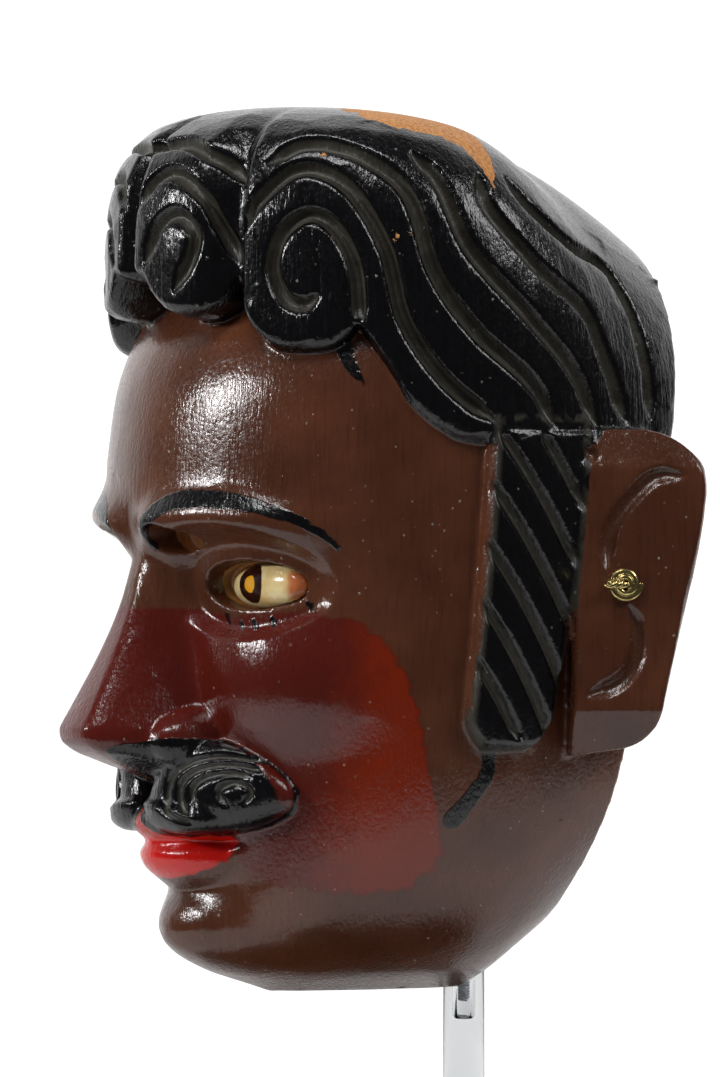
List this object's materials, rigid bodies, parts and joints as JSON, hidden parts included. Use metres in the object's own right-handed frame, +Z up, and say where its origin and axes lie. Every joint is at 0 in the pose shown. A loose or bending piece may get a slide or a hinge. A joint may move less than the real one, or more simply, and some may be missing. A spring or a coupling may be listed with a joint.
{
  "type": "festival mask",
  "caption": "Carved and painted wooden face mask with curled hair, sideburns and moustache, hollow behind, upright on a clear rod stand.",
  "frame": {"origin": "centre of the underside of the stand's foot", "axes": "+Z up; the mask faces -Y; +X is towards the mask's own left side"},
  "size_m": [0.1756, 0.1598, 0.3264],
  "materials": {
    "painted_wood": "hand-carved wood under glossy enamel: dark brown skin with a red blush, black hair and red lips, bare inside",
    "painted_eye": "painted wooden eye, glossy, cream with a dark iris and a yellow spot",
    "brass_wire": "bright wound wire, slightly tarnished",
    "plated_steel": "plated machine thread",
    "clear_acrylic": "clear polished acrylic"
  },
  "bodies": {
    "root": {"mask": "painted_wood", "eye_left": "painted_eye", "eye_right": "painted_eye", "ear_stud_left": "brass_wire", "ear_stud_right": "brass_wire", "threaded_stud": "plated_steel", "stand_rod": "clear_acrylic", "stand_foot": "clear_acrylic"}
  },
  "joints": []
}
